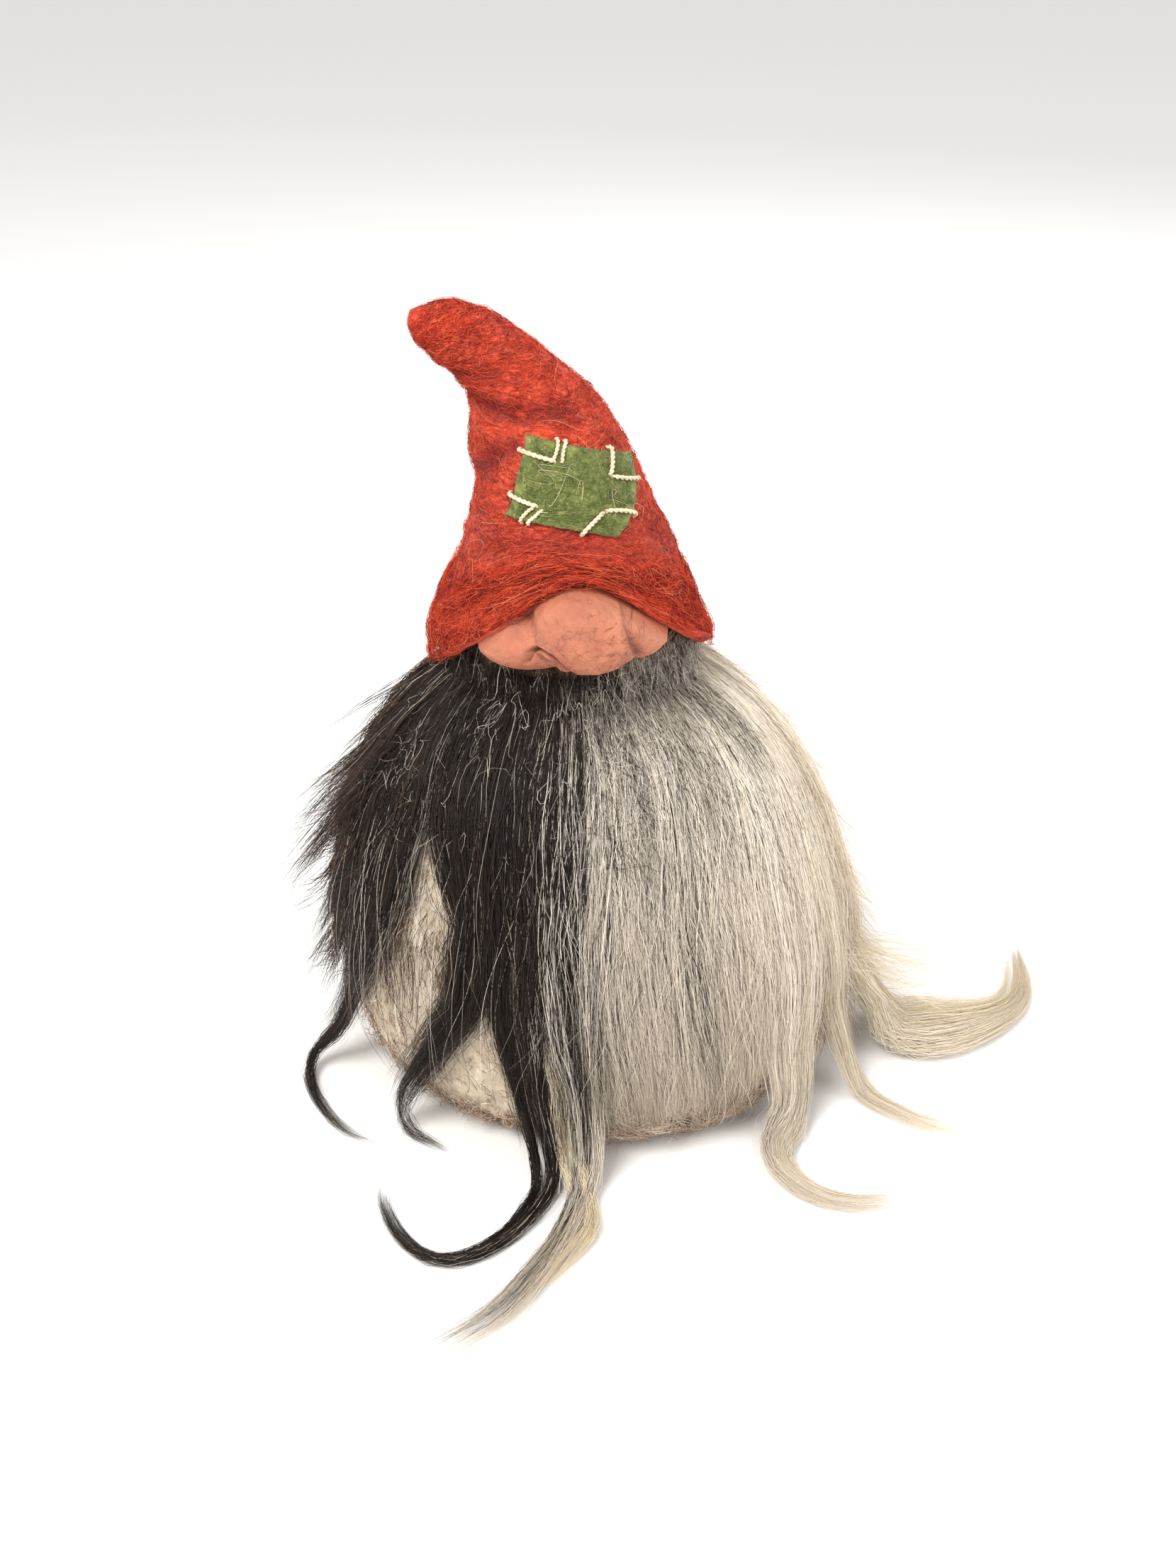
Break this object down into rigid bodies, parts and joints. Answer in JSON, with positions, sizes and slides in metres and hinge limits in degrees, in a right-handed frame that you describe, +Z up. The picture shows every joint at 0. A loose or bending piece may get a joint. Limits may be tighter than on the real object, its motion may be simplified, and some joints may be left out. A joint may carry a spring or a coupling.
{
  "type": "tomte gnome figurine",
  "caption": "Free-standing tomte gnome with a pull-off felted hat, a stitched felt patch, a clay nose and long wool locks over a weighted fleece body.",
  "frame": {"origin": "centre of the underside of the felt base, where the figure rests on a table", "axes": "+Z up; the nose faces -Y; +X is on the right of someone who faces the figure"},
  "size_m": [0.2554, 0.2598, 0.254],
  "materials": {
    "red_felt": "wet-felted wool, matte and fuzzy",
    "green_felt": "craft felt, matte",
    "yarn": "two-ply wool yarn",
    "clay": "unglazed modelled clay, matte",
    "wood": "plain birch dowel",
    "card": "plain grey-brown board",
    "cloth": "plain unbleached cotton",
    "wadding": "loose wool wadding",
    "base_felt": "tan craft felt",
    "cream_fleece": "short matted fleece",
    "dark_wool": "long raw wool, slight sheen",
    "silver_wool": "long raw wool, slight sheen",
    "white_wool": "long raw wool, slight sheen",
    "cream_wool": "long raw wool, slight sheen",
    "hide": "suede strip"
  },
  "bodies": {
    "figure": {"base_felt": "base_felt", "base_disc": "card", "weight_bag": "cloth", "body_stuffing": "wadding", "body_cover": "cloth", "body_fleece": "cream_fleece", "hair_band": "hide", "neck_tie": "yarn", "nose": "clay", "nose_peg": "wood", "lock_left_wisps": "dark_wool", "lock_left_curl": "dark_wool", "lock_dark_middle": "dark_wool", "lock_dark_curl": "dark_wool", "lock_silver": "silver_wool", "lock_grey": "silver_wool", "lock_white": "white_wool", "lock_cream_curl": "cream_wool", "lock_cream_forward": "cream_wool", "lock_cream_wide": "cream_wool", "lock_back_left": "cream_wool", "lock_back_cream": "white_wool", "lock_back_middle": "silver_wool", "lock_back_grey": "silver_wool", "lock_back_dark": "dark_wool", "lock_back_right": "dark_wool"},
    "hat": {"hat": "red_felt", "hat_wadding": "wadding", "patch": "green_felt", "stitch_top_left_side": "yarn", "stitch_top_left_end": "yarn", "stitch_top_right_side": "yarn", "stitch_top_right_end": "yarn", "stitch_bottom_left_side": "yarn", "stitch_bottom_left_end": "yarn", "stitch_bottom_right_side": "yarn", "stitch_bottom_right_end": "yarn"}
  },
  "joints": [
    {"name": "hat_lift", "type": "slide", "parent": "figure", "child": "hat", "axis": [0, 0, 1], "range_m": [0, 0.085]}
  ]
}
